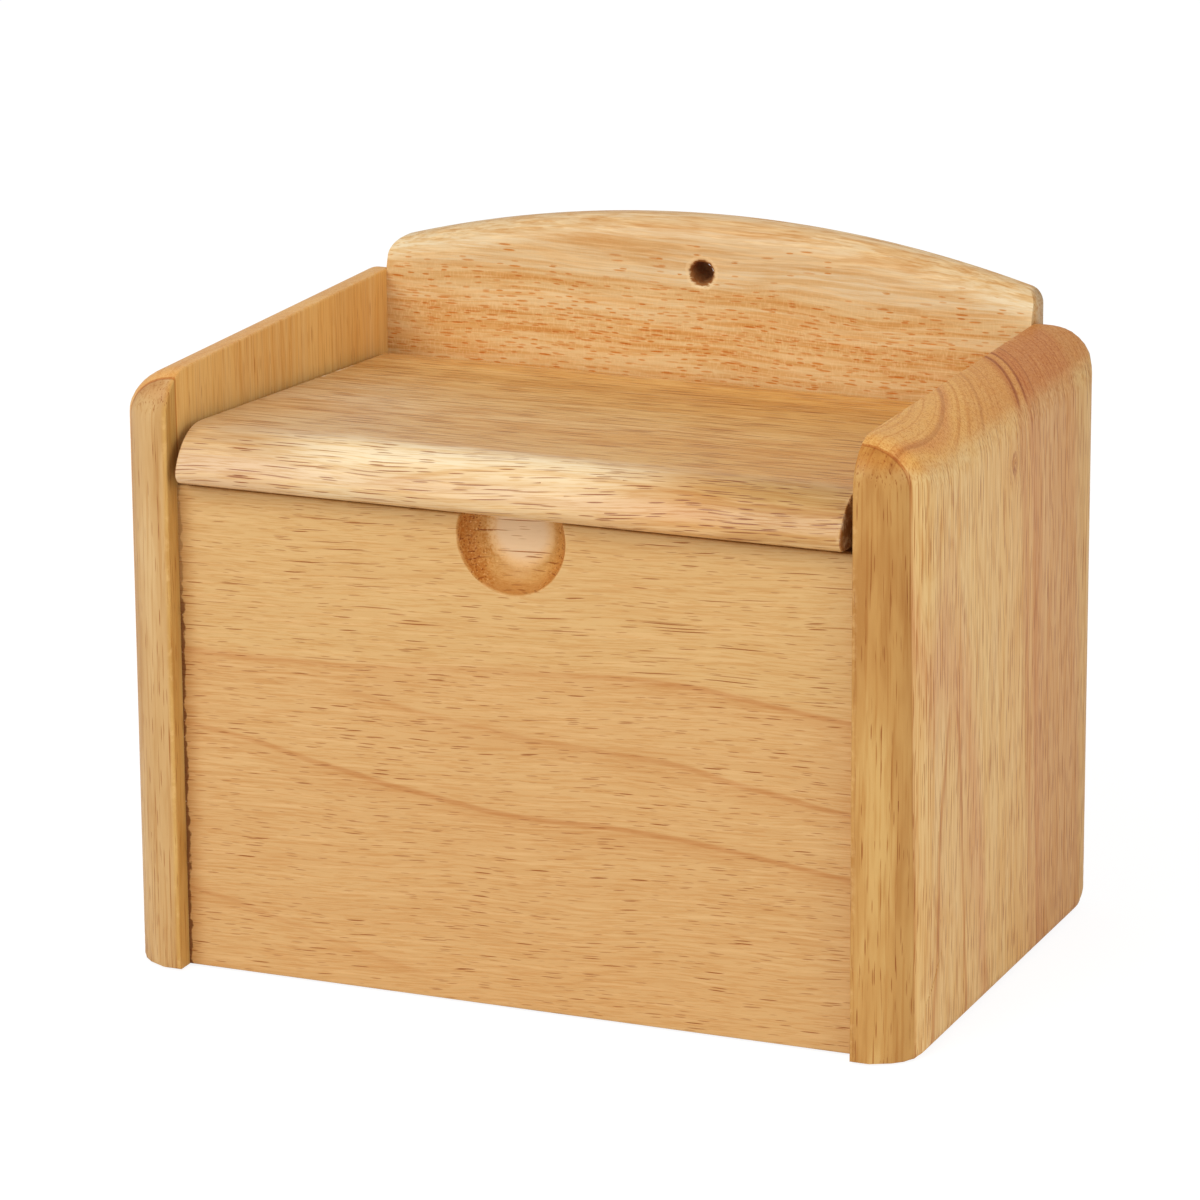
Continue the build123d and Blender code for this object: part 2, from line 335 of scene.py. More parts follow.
def panel_inside(places):
    """Inner face: flat, with a small ease to the front, top and back edges."""
    y, z = places.T
    edge = np.minimum.reduce([y - PANEL_FRONT, PANEL_TOP - z, PANEL_BACK - y, *corner_distances(y, z)])
    return panel_low[0] + round_over(np.maximum(0, edge), INNER_EASE)


def panel_mesh(name, side):
    """Right panel for side 1, and for side -1 its mirror image."""
    outline = panel_outline()
    hub = np.tile([(PANEL_FRONT + PANEL_BACK) / 2, PANEL_TOP / 2], (len(outline), 1))
    bend = PANEL_ROUND * (1 - np.cos(np.linspace(0, pi / 2, 13)))
    small = INNER_EASE * (1 - np.cos(np.linspace(0, pi / 2, 5)))[1:]
    distances = np.unique(np.round(np.concatenate([bend, small, [1.2, 3.2, 14.0]]), 4))
    shell = board_shell(outline, hub, distances, np.linspace(0, 1, 7)[1:], panel_outside, panel_inside)
    rows, columns = shell.shape[:2]
    points = shell.reshape(-1, 3)[:, [2, 0, 1]] * [side, 1, 1]
    y, z = points[:, 1], points[:, 2]
    edge = np.minimum.reduce([y - PANEL_FRONT, PANEL_TOP - z, PANEL_BACK - y, z])
    arris = np.clip(1 - edge / 0.7, 0, 1) * (np.abs(points[:, 0]) < panel_low[0] + 0.6)
    return close_up(fill_mesh(name, points, grid_quads(rows, columns), arris=arris))


class Wood(Finish):
    """A board's finish. Its coordinates run along, across and through the grain in millimetres from the
    frame's origin, and its colour is built up in layers from fine streaks, pores and stains."""

    def __init__(self, name, order, slant=0.0, wave=1.0, seed=0.0):
        super().__init__(name)
        axes = self.node("SeparateXYZ", {0: self.node("TexCoord", {}, out="Object")}).node.outputs
        places = [self.sum("MULTIPLY", axes[axis], PER_METRE) for axis in order]
        self.along, self.across, self.through = places
        self.seed = seed
        slow = self.node("CombineXYZ", {0: self.sum("MULTIPLY_ADD", self.along, 0.018, seed),
                                        1: self.sum("MULTIPLY", self.across, 0.05),
                                        2: self.sum("MULTIPLY", self.through, 0.05)})
        wander = self.node("TexNoise", {"Vector": slow, "Scale": 1.0, "Detail": 2.0})
        self.drift = self.sum("SUBTRACT", wander, 0.5)
        self.bent = self.sum("MULTIPLY_ADD", self.drift, wave * 8.0,
                             self.sum("MULTIPLY_ADD", self.along, slant, self.across))
        normal = self.node("SeparateXYZ", {0: self.node("NewGeometry", {}, out="Normal")}, out=order[0])
        self.end = self.step(self.sum("ABSOLUTE", normal), 0.3, 0.62)
        self.colour = None

    def stretched(self, length, width, shift, depth=1.0):
        """Place for a texture whose features are length millimetres long in the grain, width wide and depth
        times as deep as wide."""
        return self.node("CombineXYZ", {
            0: self.sum("MULTIPLY_ADD", self.along, 1 / length, self.seed + shift),
            1: self.sum("MULTIPLY", self.bent, 1 / width),
            2: self.sum("MULTIPLY", self.through, 1 / width / depth)})

    def streaks(self, length, width, shift, low=0.45, high=0.62, detail=3.0):
        """Soft-edged streaks from 0 to 1: stretched noise cut between two levels."""
        noise = self.node("TexNoise", {"Vector": self.stretched(length, width, shift), "Scale": 1.0,
                                       "Detail": detail, "Roughness": 0.6})
        return self.step(noise, low, high)

    def pores(self, length, width, share, shift, size=0.3, depth=1.0, girth=None):
        """Cut vessels from 0 to 1: slim spindles at the middle of stretched cells, kept in a share of them.
        With girth, a place round the board in millimetres, they lie on its skin, not through its depth."""
        place = self.stretched(length, width, shift, depth) if girth is None else self.node(
            "CombineXYZ", {0: self.sum("MULTIPLY_ADD", self.along, 1 / length, self.seed + shift),
                           1: self.sum("MULTIPLY", girth, 1 / width)})
        cells = self.node("TexVoronoi", {"Vector": place, "Scale": 1.0},
                          voronoi_dimensions="3D" if girth is None else "2D").node
        spindle = self.fall(cells.outputs["Distance"], size * 0.6, size)
        luck = self.node("SeparateColor", {0: cells.outputs["Color"]}).node.outputs
        strength = self.sum("MULTIPLY_ADD", luck["Green"], 0.55, 0.45)
        kept = self.sum("LESS_THAN", luck["Red"], share)
        return self.sum("MULTIPLY", self.sum("MULTIPLY", spindle, strength), kept)

    def line(self, value, place, half):
        """1 where value is at place, falling to 0 half a width away on both sides."""
        return self.fall(self.sum("ABSOLUTE", self.sum("SUBTRACT", value, place)), half * 0.3, half)

    def both(self, *masks):
        """Product of masks and amounts."""
        product = masks[0]
        for mask in masks[1:]:
            product = self.sum("MULTIPLY", product, mask)
        return product

    def stain(self, amount, mask, tint):
        """Darkens the colour towards a tint where the mask is 1."""
        self.colour = self.blend(self.sum("MULTIPLY", mask, amount), self.colour, (*tint, 1.0), "MULTIPLY")

    def cover(self, amount, mask, over):
        """Lays another colour on where the mask is 1."""
        self.colour = self.blend(self.sum("MULTIPLY", mask, amount), self.colour, over)

    def edge_wear(self, pale, amount=0.6):
        """Paler wood where the lacquer is sanded thin on the eased edges, in broken runs."""
        arris = self.node("Attribute", {}, out="Fac", attribute_name="arris")
        patch = self.noise(330.0, 6.0, Roughness=0.65)
        self.cover(amount, self.sum("MULTIPLY", arris, self.step(patch, 0.48, 0.66)), pale)

    def lacquer(self, hollows, ridges, roughness=0.42, relief=0.045, shine=0.2):
        """Satin lacquer that sinks into the pores and follows the fine ridges of the grain."""
        height = self.sum("MULTIPLY_ADD", hollows, -1.0, self.sum("MULTIPLY", ridges, 0.3))
        bump = self.node("Bump", {"Height": height, "Strength": 0.6, "Distance": relief / PER_METRE},
                         out="Normal")
        gloss = self.sum("MULTIPLY_ADD", ridges, 0.12, roughness)
        return self.close(self.node("BsdfPrincipled", {
            "Base Color": self.colour, "Roughness": gloss, "Normal": bump, "Specular IOR Level": shine}))


PITH_INWARD, PITH_BACK, LEAN, LEAN_AT_FOOT = 60.0, -40.0, 0.08, 24.3
KNOT_Y, KNOT_Z, KNOT_FLAT = 2.1, 113.7, 0.7
ARCH_Y, ARCH_TOP, ARCH_SPREAD = -35.0, 74.0, 1.5
SEAM_Y, SEAM_LEAN = -52.0, -0.016


def panel_wood(name, side, seed):
    """Rings about a pith inside the box, leaning a little, so that the top shows arcs and the side a tall
    arch. Side is 1 for the right panel, which has the knot and the warmer tones, and -1 for the left."""
    wood = Wood(name, (2, 1, 0), wave=0.3, seed=seed)
    depth = wood.both(wood.through, side)
    lean = wood.sum("MULTIPLY_ADD", wood.along, LEAN, LEAN_AT_FOOT)
    from_pith = wood.sum("SUBTRACT", wood.sum("ADD", depth, lean), PITH_INWARD)
    sideways = wood.sum("ADD", wood.across, -PITH_BACK)
    radius = wood.apart(from_pith, sideways)
    ring = wood.sum("MULTIPLY_ADD", wood.drift, 5.0, radius)
    part = wood.node("MapRange", {0: ring, 1: 40.0, 2: 120.0})
    if side > 0:
        wood.colour = wood.bands(
            part,
            (0.00, 228, 197, 136), (0.235, 223, 184, 124), (0.262, 214, 165, 109),
            (0.29, 225, 187, 125), (0.46, 220, 177, 114), (0.49, 203, 148, 88),
            (0.51, 215, 168, 108), (0.53, 204, 149, 92), (0.60, 207, 158, 101),
            (0.78, 204, 153, 94), (0.84, 209, 168, 108), (1.0, 207, 168, 108))
        knot_y = wood.sum("SUBTRACT", wood.across, KNOT_Y)
        knot_z = wood.both(wood.sum("SUBTRACT", wood.along, KNOT_Z), KNOT_FLAT)
        knot = wood.apart(knot_y, knot_z)
        uneven = wood.node("TexNoise", {"Vector": wood.stretched(2.0, 1.2, 3.0), "Scale": 1.0, "Detail": 3.0})
        knot = wood.sum("MULTIPLY_ADD", wood.sum("SUBTRACT", uneven, 0.5), 1.8, knot)
        shoved = wood.sum("DIVIDE", knot_y, wood.sum("ADD", knot, 0.6))
        wood.bent = wood.sum("MULTIPLY_ADD", shoved, wood.step(knot, 0.8, 9.0, -2.4, 0.0), wood.bent)
        wood.stain(0.7, wood.line(knot, 1.2, 0.6), (0.70, 0.50, 0.34))
        wood.stain(0.8, wood.fall(knot, 0.2, 0.8), (0.66, 0.44, 0.28))
        wood.stain(0.6, wood.fall(knot, 1.5, 6.0), (0.88, 0.76, 0.62))
    else:
        wood.colour = wood.bands(
            part,
            (0.00, 234, 190, 117), (0.25, 228, 180, 108), (0.45, 235, 190, 116),
            (0.6, 226, 178, 104), (1.0, 232, 188, 112))
    arcs = wood.node("TexNoise", {"Vector": wood.node("CombineXYZ", {0: wood.both(ring, 0.42)}),
                                  "Scale": 1.0, "Detail": 4.0, "Roughness": 0.7})
    wood.stain(0.5, wood.step(arcs, 0.5, 0.64), (0.86, 0.72, 0.54))
    wood.stain(0.2 if side > 0 else 0.35, wood.streaks(60, 1.6, 3.1), (0.90, 0.78, 0.62))
    wood.stain(0.4, wood.streaks(80, 4.0, 19.3, 0.45, 0.6), (0.98, 0.90, 0.69))
    wood.cover(0.35, wood.streaks(70, 1.0, 9.4, 0.52, 0.66), paint(230, 192, 132))
    hairs = wood.streaks(28, 0.38, 5.5, 0.5, 0.59, 2.0)
    wood.stain(0.65 if side > 0 else 0.35, hairs, (0.85, 0.68, 0.50))
    wood.stain(0.5 if side > 0 else 0.35, wood.streaks(36, 0.5, 7.7, 0.57, 0.61, 2.0), (0.76, 0.56, 0.38))
    skin = wood.sum("ADD", wood.bent, depth)
    scratches = wood.sum("MAXIMUM", wood.pores(15.0, 0.7, 0.75, 17.1, 0.22, girth=skin),
                         wood.pores(32.0, 1.0, 0.7, 23.9, 0.18, girth=skin))
    scratches = wood.both(scratches, wood.fall(wood.end, 0.0, 0.5))
    wood.stain(1.0 if side > 0 else 0.4, scratches, (0.58, 0.35, 0.17))
    drop = wood.sum("MULTIPLY_ADD", wood.along, -ARCH_SPREAD, ARCH_SPREAD * ARCH_TOP)
    legs = wood.sum("SQRT", wood.sum("MAXIMUM", drop, 0.0))
    swaying = wood.sum("MULTIPLY_ADD", wood.drift, 8.0, wood.across)
    arch = wood.sum("SUBTRACT", wood.sum("ABSOLUTE", wood.sum("ADD", swaying, -ARCH_Y)), legs)
    below = wood.fall(wood.along, ARCH_TOP - 8.0, ARCH_TOP)
    shade = wood.both(below, wood.step(arch, -4.0, 0.0), wood.fall(arch, 0.0, 0.6))
    wood.stain(0.9 if side > 0 else 0.3, wood.both(below, wood.line(arch, 0.0, 1.1)), (0.82, 0.65, 0.48))
    wood.stain(0.5, shade, (0.90, 0.78, 0.64))
    seam = wood.sum("SUBTRACT", wood.across, wood.sum("MULTIPLY_ADD", wood.along, SEAM_LEAN, SEAM_Y))
    strip = wood.fall(seam, -0.15, 0.15)
    base = wood.colour
    warm = (((0.0, 180, 128, 65), (0.5, 194, 146, 81), (1.0, 206, 164, 99)) if side > 0 else
            ((0.0, 187, 142, 85), (0.5, 199, 158, 103), (1.0, 207, 170, 117)))
    wood.colour = wood.bands(wood.streaks(45, 7.0, 14.2, 0.3, 0.7), *warm)
    wood.stain(0.5, wood.streaks(34, 0.7, 6.6, 0.52, 0.64), (0.80, 0.64, 0.44))
    wood.stain(0.8, wood.streaks(26, 0.45, 8.3, 0.62, 0.68, 2.0), (0.62, 0.40, 0.22))
    wood.colour = wood.blend(strip, base, wood.colour)
    if side < 0:
        # Warmer, darker orange on the front of the left panel's inner face: painted shade in the corner
        # beside the front board.
        wood.stain(1.0, wood.both(strip, wood.step(wood.through, -78.0, -76.8)), (1.0, 0.94, 0.66))
    else:
        wood.stain(0.9, wood.both(strip, wood.step(wood.along, 50.0, 90.0)), (0.93, 0.89, 0.84))
    fading = wood.step(wood.along, 108.0, 122.0, 0.4, 1.0) if side > 0 else 1.0
    wood.stain(1.0, wood.both(wood.line(seam, 0.1, 0.5), fading), (0.72, 0.52, 0.36))
    fewer = wood.step(wood.along, 20.0, 80.0, 1.0, 0.5)
    share = wood.both(wood.sum("MULTIPLY_ADD", strip, 0.3, 0.4), fewer)
    vessels = wood.pores(9.0, 0.55, share, 11.3, 0.27)
    vessels = wood.both(vessels, wood.fall(wood.end, 0.0, 0.6))
    wood.stain(0.95, vessels, (0.58, 0.34, 0.18))
    if side > 0:
        wood.stain(0.9, wood.end, (1.0, 0.82, 0.54))
        outward = wood.node("CombineXYZ", {0: wood.both(radius, 1.1)})
        cut_rings = wood.node("TexNoise", {"Vector": outward, "Scale": 1.0, "Detail": 3.0})
        wood.stain(0.7, wood.both(wood.end, wood.step(cut_rings, 0.5, 0.62)), (0.84, 0.66, 0.48))
        for place, half, share in ((60.0, 0.6, 0.45), (68.0, 0.5, 0.3), (79.5, 0.7, 0.8), (82.3, 0.6, 0.8),
                                   (86.0, 0.4, 0.5)):
            wood.stain(share, wood.both(wood.end, wood.line(radius, place, half)), (0.60, 0.40, 0.26))
        wood.stain(0.9, wood.both(wood.end, wood.step(ring, 81.0, 84.0)), (0.90, 0.79, 0.84))
        redder = wood.both(wood.end, wood.step(ring, 62.0, 68.0), wood.fall(ring, 79.0, 83.0))
        wood.stain(0.9, redder, (0.92, 0.86, 0.85))
    else:
        wood.stain(0.8, wood.end, (0.96, 0.84, 0.76))
    wood.stain(0.5, wood.both(wood.end, wood.pores(0.6, 0.6, 0.5, 3.3, 0.32)), (0.70, 0.52, 0.36))
    wood.edge_wear(paint(232, 192, 130), 0.3)
    return wood.lacquer(vessels, hairs)


for node, side, seed in (("side_panel_right", 1, 0.0), ("side_panel_left", -1, 31.0)):
    panel = panel_mesh(node + "_dressed", side)
    panel.data.materials.append(panel_wood(node + "_rubberwood", side, seed))
    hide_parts(node)
    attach(panel, "box")


# Front board: flat-sawn rubberwood between the panels, grain level, butted and dowelled,
# with a finger scoop turned into its top edge by a round-nosed cutter.
front_low, front_high = span("front_board")
BOARD_EASE, EASED_BAND = 0.4, 0.85
SCOOP_Z, SCOOP_RIM, SCOOP_FLOOR, SCOOP_DEEP = 102.4, 12.2, 5.0, 6.0
COVE = ((SCOOP_RIM - SCOOP_FLOOR) ** 2 + SCOOP_DEEP**2) / (2 * SCOOP_DEEP)
LIP, LIP_REACH = 0.45, 0.35


def scoop_depth(distance):
    """Flat floor, a cove rising from it as an arc of a circle, and a small lip that turns out to the face."""
    past_floor = np.clip(distance - SCOOP_FLOOR, 0, None)
    cove = SCOOP_DEEP - COVE + np.sqrt(np.clip(COVE**2 - past_floor**2, 0, None))
    lip_end = SCOOP_RIM + LIP_REACH
    lip = LIP - np.sqrt(np.clip(LIP**2 - np.clip(lip_end - distance, 0, LIP) ** 2, 0, None))
    wall = np.where(distance > SCOOP_RIM - 0.1, np.maximum(cove, LIP), cove)
    return np.where(distance > lip_end - LIP, lip, wall)


def level_ease(z):
    """Depth taken off at the top and the bottom edge."""
    return round_over(np.maximum(np.minimum(front_high[2] - z, z), 0), BOARD_EASE)


def front_face(places):
    """Front face: the scoop's depth added to the eased edges."""
    x, z = places.T
    return front_low[1] + scoop_depth(np.hypot(x, z - SCOOP_Z)) + level_ease(z)


def front_rear(places):
    """Rear face: flat between its eased edges."""
    return front_high[1] - level_ease(places[:, 1])


corners = [(front_low[0], front_low[2]), (front_high[0], front_low[2]),
           (front_high[0], front_high[2]), (front_low[0], front_high[2])]
outline = rounded_outline(corners, [0.05] * 4, spacing=0.5, arc_points=3)
hub = np.tile([0.0, SCOOP_Z], (len(outline), 1))
reach = np.linalg.norm(outline - hub, axis=1)
cove_rings = SCOOP_FLOOR + COVE * np.cos(np.linspace(pi / 2, 0.18, 16))
lip_rings = SCOOP_RIM + np.array([0, 0.06, 0.14, 0.24, LIP_REACH, 0.6])
rings = np.concatenate([[0.05, 2.5], cove_rings, lip_rings])
rings = np.unique(np.clip(rings, 0, SCOOP_RIM + 0.6))
squeeze = np.minimum(1.0, (reach - 0.9) / rings[-1])
inner_shares = rings[:, None] * squeeze / reach
ease = BOARD_EASE * (1 - np.cos(np.linspace(pi / 2, 0, 5)))
edge_shares = 1 - ease[:, None] / reach
band_share = 1 - EASED_BAND / reach
gap = np.linspace(0, 1, 12)[1:-1, None]
middle = inner_shares[-1] + (band_share - inner_shares[-1]) * gap
shares = np.concatenate([inner_shares, middle, band_share[None], edge_shares])
places = hub[None] + (outline - hub)[None] * shares[..., None]
flat = places.reshape(-1, 2)
face = np.concatenate([places, front_face(flat).reshape(shares.shape)[..., None]], -1)
rear = np.concatenate([places, front_rear(flat).reshape(shares.shape)[..., None]], -1)
shell = np.concatenate([face, rear[::-1]])
points = shell.reshape(-1, 3)[:, [0, 2, 1]]
off_rim = np.abs(np.hypot(points[:, 0], points[:, 2] - SCOOP_Z) - SCOOP_RIM)
arris = np.clip(1 - (front_high[2] - points[:, 2]) / 0.6, 0, 1)
arris += np.clip(1 - off_rim / 0.4, 0, 1) * (points[:, 1] < front_low[1] + 1)
front_board = close_up(fill_mesh("front_board_dressed", points, grid_quads(*shell.shape[:2]),
                                 arris=np.clip(arris, 0, 1)))

wood = Wood("front_board_rubberwood", (0, 2, 1), slant=-0.05, wave=0.45, seed=2.0)
width_share = wood.node("MapRange", {0: wood.along, 1: -76.5, 2: 76.5})
RAMP_HEIGHT = 110.0


def ring_line(*stops):
    """Height above a late-wood line, given as (share of the width from the left, height in millimetres)."""
    height = wood.bands(width_share, *((place, z / RAMP_HEIGHT) for place, z in stops), how="B_SPLINE")
    return wood.sum("MULTIPLY_ADD", wood.drift, 3.0,
                    wood.sum("MULTIPLY_ADD", height, -RAMP_HEIGHT, wood.across))


first = ring_line((0.0, 70.5), (0.25, 71.0), (0.45, 73.5), (0.7, 75.5), (0.85, 73.0), (1.0, 70.0))
second = ring_line((0.0, 68.0), (0.25, 66.0), (0.39, 62.5), (0.55, 58.8), (0.72, 58.2), (0.83, 55.2),
                   (1.0, 51.0))
third = ring_line((0.0, 55.5), (0.2, 49.6), (0.42, 43.2), (0.57, 42.4), (0.74, 41.8), (0.86, 39.8),
                  (1.0, 36.2))
fourth = ring_line((0.0, 19.0), (0.2, 11.0), (0.4, 3.0), (1.0, -6.0))
upper = wood.step(first, -0.5, 3.0)
wood.colour = wood.blend(upper, paint(208, 164, 107), paint(209, 168, 110))
wood.stain(0.3, wood.streaks(60, 5.0, 21.4, 0.35, 0.65), (0.90, 0.80, 0.70))
for above, share in ((first, wood.bands(width_share, (0.0, 0.9), (0.3, 0.5), (0.5, 0.3), (0.8, 0.9))),
                     (second, wood.bands(width_share, (0.2, 0.0), (0.3, 0.5), (0.6, 0.5), (0.8, 0.9))),
                     (third, wood.bands(width_share, (0.0, 0.6), (0.4, 1.0), (0.6, 1.0), (1.0, 0.9))),
                     (fourth, wood.bands(width_share, (0.0, 0.5), (0.3, 0.3), (0.5, 0.0)))):
    wood.stain(0.8, wood.both(share, wood.line(above, 0.0, 0.9)), (0.86, 0.72, 0.60))
    wood.stain(0.7, wood.both(share, wood.step(above, -6.0, 0.0), wood.fall(above, 0.0, 0.8)),
               (0.92, 0.83, 0.74))
wood.stain(0.35, wood.streaks(22, 0.9, 6.3, 0.5, 0.66), (0.88, 0.76, 0.60))
wood.cover(0.22, wood.streaks(24, 0.8, 9.4, 0.52, 0.66), paint(234, 194, 138))
hairs = wood.streaks(7, 0.36, 5.5, 0.5, 0.58, 2.0)
wood.stain(0.45, hairs, (0.86, 0.72, 0.54))
scoop_rise = wood.sum("SUBTRACT", wood.across, SCOOP_Z)
from_scoop = wood.apart(wood.along, scoop_rise)
in_scoop = wood.fall(wood.through, front_low[1] + SCOOP_DEEP + 0.5, front_low[1] + SCOOP_DEEP + 1.0)
# Pale colour on the scoop's floor and lowest cove: a painted highlight where it catches the light.
scoop_floor_highlight = wood.both(wood.fall(from_scoop, 7.5, 9.5),
                        wood.step(wood.through, front_low[1] + 5.2, front_low[1] + 5.9), in_scoop)
wood.cover(0.8, scoop_floor_highlight, paint(242, 210, 168))
long_vessels = wood.pores(36.0, 0.8, wood.both(upper, 0.8), 11.3, 0.2, 8.0)
short_vessels = wood.pores(13.0, 0.75, wood.sum("MULTIPLY_ADD", upper, -0.3, 0.8), 27.1, 0.2, 8.0)
fine_vessels = wood.pores(7.0, 0.5, 0.85, 41.7, 0.24, 8.0)
vessels = wood.sum("MAXIMUM", wood.sum("MAXIMUM", long_vessels, short_vessels),
                   wood.both(fine_vessels, 0.7))
wood.stain(1.0, vessels, (0.46, 0.22, 0.07))
hollowed = wood.both(wood.step(wood.through, front_low[1] + 0.3, front_low[1] + 1.0),
                     wood.fall(wood.through, front_low[1] + 2.4, front_low[1] + 4.6))
wood.stain(0.9, hollowed, (0.88, 0.76, 0.66))
cove = wood.both(wood.step(from_scoop, 4.5, 7.5),
                 wood.fall(from_scoop, SCOOP_RIM - 0.3, SCOOP_RIM + 0.1), in_scoop)
fibres = wood.noise(1500.0, 5.0, Roughness=0.7)
# Dark fibres and pale flecks of end grain, denser on the scoop's left wall; their extra darkness on the left
# is painted shade of the wall turned from the light.
shaded_left_wall = wood.step(wood.along, -7.0, -3.0, 1.0, 0.25)
wood.stain(0.8, cove, (0.95, 0.81, 0.54))
wood.stain(0.9, wood.both(cove, shaded_left_wall, wood.step(fibres, 0.48, 0.6)), (0.86, 0.66, 0.42))
wood.cover(0.6, wood.both(cove, shaded_left_wall, wood.fall(fibres, 0.34, 0.42)), paint(240, 198, 134))
wood.stain(0.7, wood.end, (0.92, 0.74, 0.46))
pits = wood.pores(0.75, 0.65, 0.8, 3.3, 0.36)
wood.stain(1.0, wood.both(wood.end, pits), (0.50, 0.30, 0.14))
wood.cover(0.55, wood.both(wood.end, wood.pores(0.9, 0.6, 0.3, 8.8, 0.32)), paint(236, 194, 130))
ragged = wood.noise(420.0, 5.0)
glue = wood.fall(wood.sum("MULTIPLY_ADD", ragged, 2.6, wood.along), front_low[0] + 1.8, front_low[0] + 2.2)
glue = wood.both(glue, wood.step(wood.across, 78.0, 88.0, 1.0, 0.45))
# Darker towards the left panel: painted shade in the corner where the front board meets it.
wood.stain(0.6, wood.fall(wood.along, front_low[0] + 0.8, front_low[0] + 5.0), (0.92, 0.82, 0.70))
wood.cover(0.85, glue, paint(104, 54, 20))
dust = wood.node("TexVoronoi", {"Vector": wood.node("TexCoord", {}, out="Object"), "Scale": 1500.0},
                 out="Distance")
wood.cover(0.8, wood.both(glue, wood.fall(dust, 0.12, 0.25), wood.step(ragged, 0.5, 0.6)),
           paint(206, 180, 140))
wood.edge_wear(paint(228, 184, 126), 0.45)
front_board.data.materials.append(wood.lacquer(vessels, hairs))
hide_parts("front_board")
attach(front_board, "box")


# Back board: coarser, honey-coloured rubberwood, grain level, sawn to an arch that is rounded
# over along its front edge, with a drilled hole to hang the box by, its rim a little torn.
back_low, back_high = span("back_board")
ARCH_RADIUS, ARCH_ROUND, ARCH_CORNER = 275.0, 6.0, 4.0
HOLE_RADIUS, HOLE_Z, HOLE_CHAMFER = 2.5, back_high[2] - 11.8, 0.6
SPLINTER, SPLINTER_TURN, SPLINTER_SPREAD = 0.6, -2.51, 1.05
arch_hub = back_high[2] - ARCH_RADIUS


def arch_outline():
    """Foot corners, upright sides, small corner arcs and the arch, anticlockwise from the left foot."""
    half = back_high[0]
    hub_x = half - ARCH_CORNER
    hub_z = arch_hub + np.sqrt((ARCH_RADIUS - ARCH_CORNER) ** 2 - hub_x**2)
    tip = np.arctan2(hub_z - arch_hub, hub_x)
    foot = np.stack([np.linspace(-half, half, 60), np.zeros(60)], -1)
    side = np.stack([np.full(50, half), np.linspace(0, hub_z, 52)[1:-1]], -1)
    turn = np.linspace(0, tip, 12)
    corner = np.stack([hub_x + ARCH_CORNER * np.cos(turn), hub_z + ARCH_CORNER * np.sin(turn)], -1)
    sweep = np.linspace(tip, pi - tip, 90)[1:-1]
    arch = np.stack([ARCH_RADIUS * np.cos(sweep), arch_hub + ARCH_RADIUS * np.sin(sweep)], -1)
    mirrored = [-1, 1]
    return np.concatenate([foot, side, corner, arch, corner[::-1] * mirrored, side[::-1] * mirrored])


def back_front(places):
    """Front face: round-over under the arch, chamfer round the hole."""
    x, z = places.T
    under_arch = ARCH_RADIUS - np.hypot(x, z - arch_hub)
    from_hole = np.hypot(x, z - HOLE_Z) - HOLE_RADIUS
    return back_low[1] + np.maximum(round_over(np.maximum(under_arch, 0), ARCH_ROUND),
                                    np.clip(HOLE_CHAMFER - from_hole, 0, None))


def back_rear(places):
    """Rear face: flat, its arched edge eased."""
    x, z = places.T
    under_arch = ARCH_RADIUS - np.hypot(x, z - arch_hub)
    return back_high[1] - round_over(np.maximum(under_arch, 0), BOARD_EASE)


outline = arch_outline()
toward = outline - [0.0, HOLE_Z]
angle = np.arctan2(toward[:, 1], toward[:, 0])
torn = HOLE_RADIUS + 0.12 * np.sin(3 * angle + 0.6) + 0.08 * np.sin(7 * angle)
inner = np.array([0.0, HOLE_Z]) + torn[:, None] * np.stack([np.cos(angle), np.sin(angle)], -1)
bend = ARCH_ROUND * (1 - np.cos(np.linspace(0, pi / 2, 10)))
distances = np.unique(np.round(np.concatenate([bend, [0.03, 0.12, 0.25, 0.4, 7.0]]), 3))
fractions = np.concatenate([np.linspace(0, 0.9, 10)[1:], [0.94, 0.97, 0.985, 0.993, 1.0]])
shell = board_shell(outline, inner, distances, fractions, back_front, back_rear)
from_splinter = (angle - SPLINTER_TURN + pi) % (2 * pi) - pi
splinter = SPLINTER * np.exp(-((from_splinter / SPLINTER_SPREAD) ** 2))
shell[-1, :, :2] = [0.0, HOLE_Z] + (shell[-1, :, :2] - [0.0, HOLE_Z]) * (0.96 - splinter)[:, None]
wall = shell[-1] + (shell[0] - shell[-1]) * np.array([0.04, 0.3, 0.6, 0.96])[:, None, None]
shell = np.concatenate([shell, wall, shell[:1]])
points = shell.reshape(-1, 3)[:, [0, 2, 1]]
arris = np.clip(1 - np.abs(np.hypot(points[:, 0], points[:, 2] - HOLE_Z) - HOLE_RADIUS - 0.4) / 0.6, 0, 1)
back_board = close_up(fill_mesh("back_board_dressed", points, grid_quads(*shell.shape[:2]), arris=arris))

wood = Wood("back_board_rubberwood", (0, 2, 1), slant=0.012, wave=0.6, seed=12.0)
line = wood.sum("MULTIPLY_ADD", wood.drift, 6.0, wood.sum("MULTIPLY_ADD", wood.along, 0.012, wood.across))
part = wood.node("MapRange", {0: line, 1: 100.0, 2: 150.0})
wood.colour = wood.bands(
    part,
    (0.00, 228, 186, 121), (0.20, 228, 188, 124), (0.30, 233, 200, 144),
    (0.42, 226, 188, 129), (0.54, 233, 206, 158), (0.60, 225, 192, 138),
    (0.72, 228, 207, 168), (0.80, 220, 191, 146), (0.92, 219, 188, 144))
wood.stain(0.8, wood.streaks(34, 1.3, 3.1), (0.89, 0.71, 0.48))
wood.stain(0.5, wood.streaks(60, 3.5, 53.1, 0.5, 0.6), (0.92, 0.78, 0.58))
wood.stain(0.35, wood.streaks(12, 0.6, 6.3, 0.48, 0.62), (0.90, 0.74, 0.54))
wood.cover(0.4, wood.streaks(16, 0.9, 9.4, 0.5, 0.64), paint(242, 208, 154))
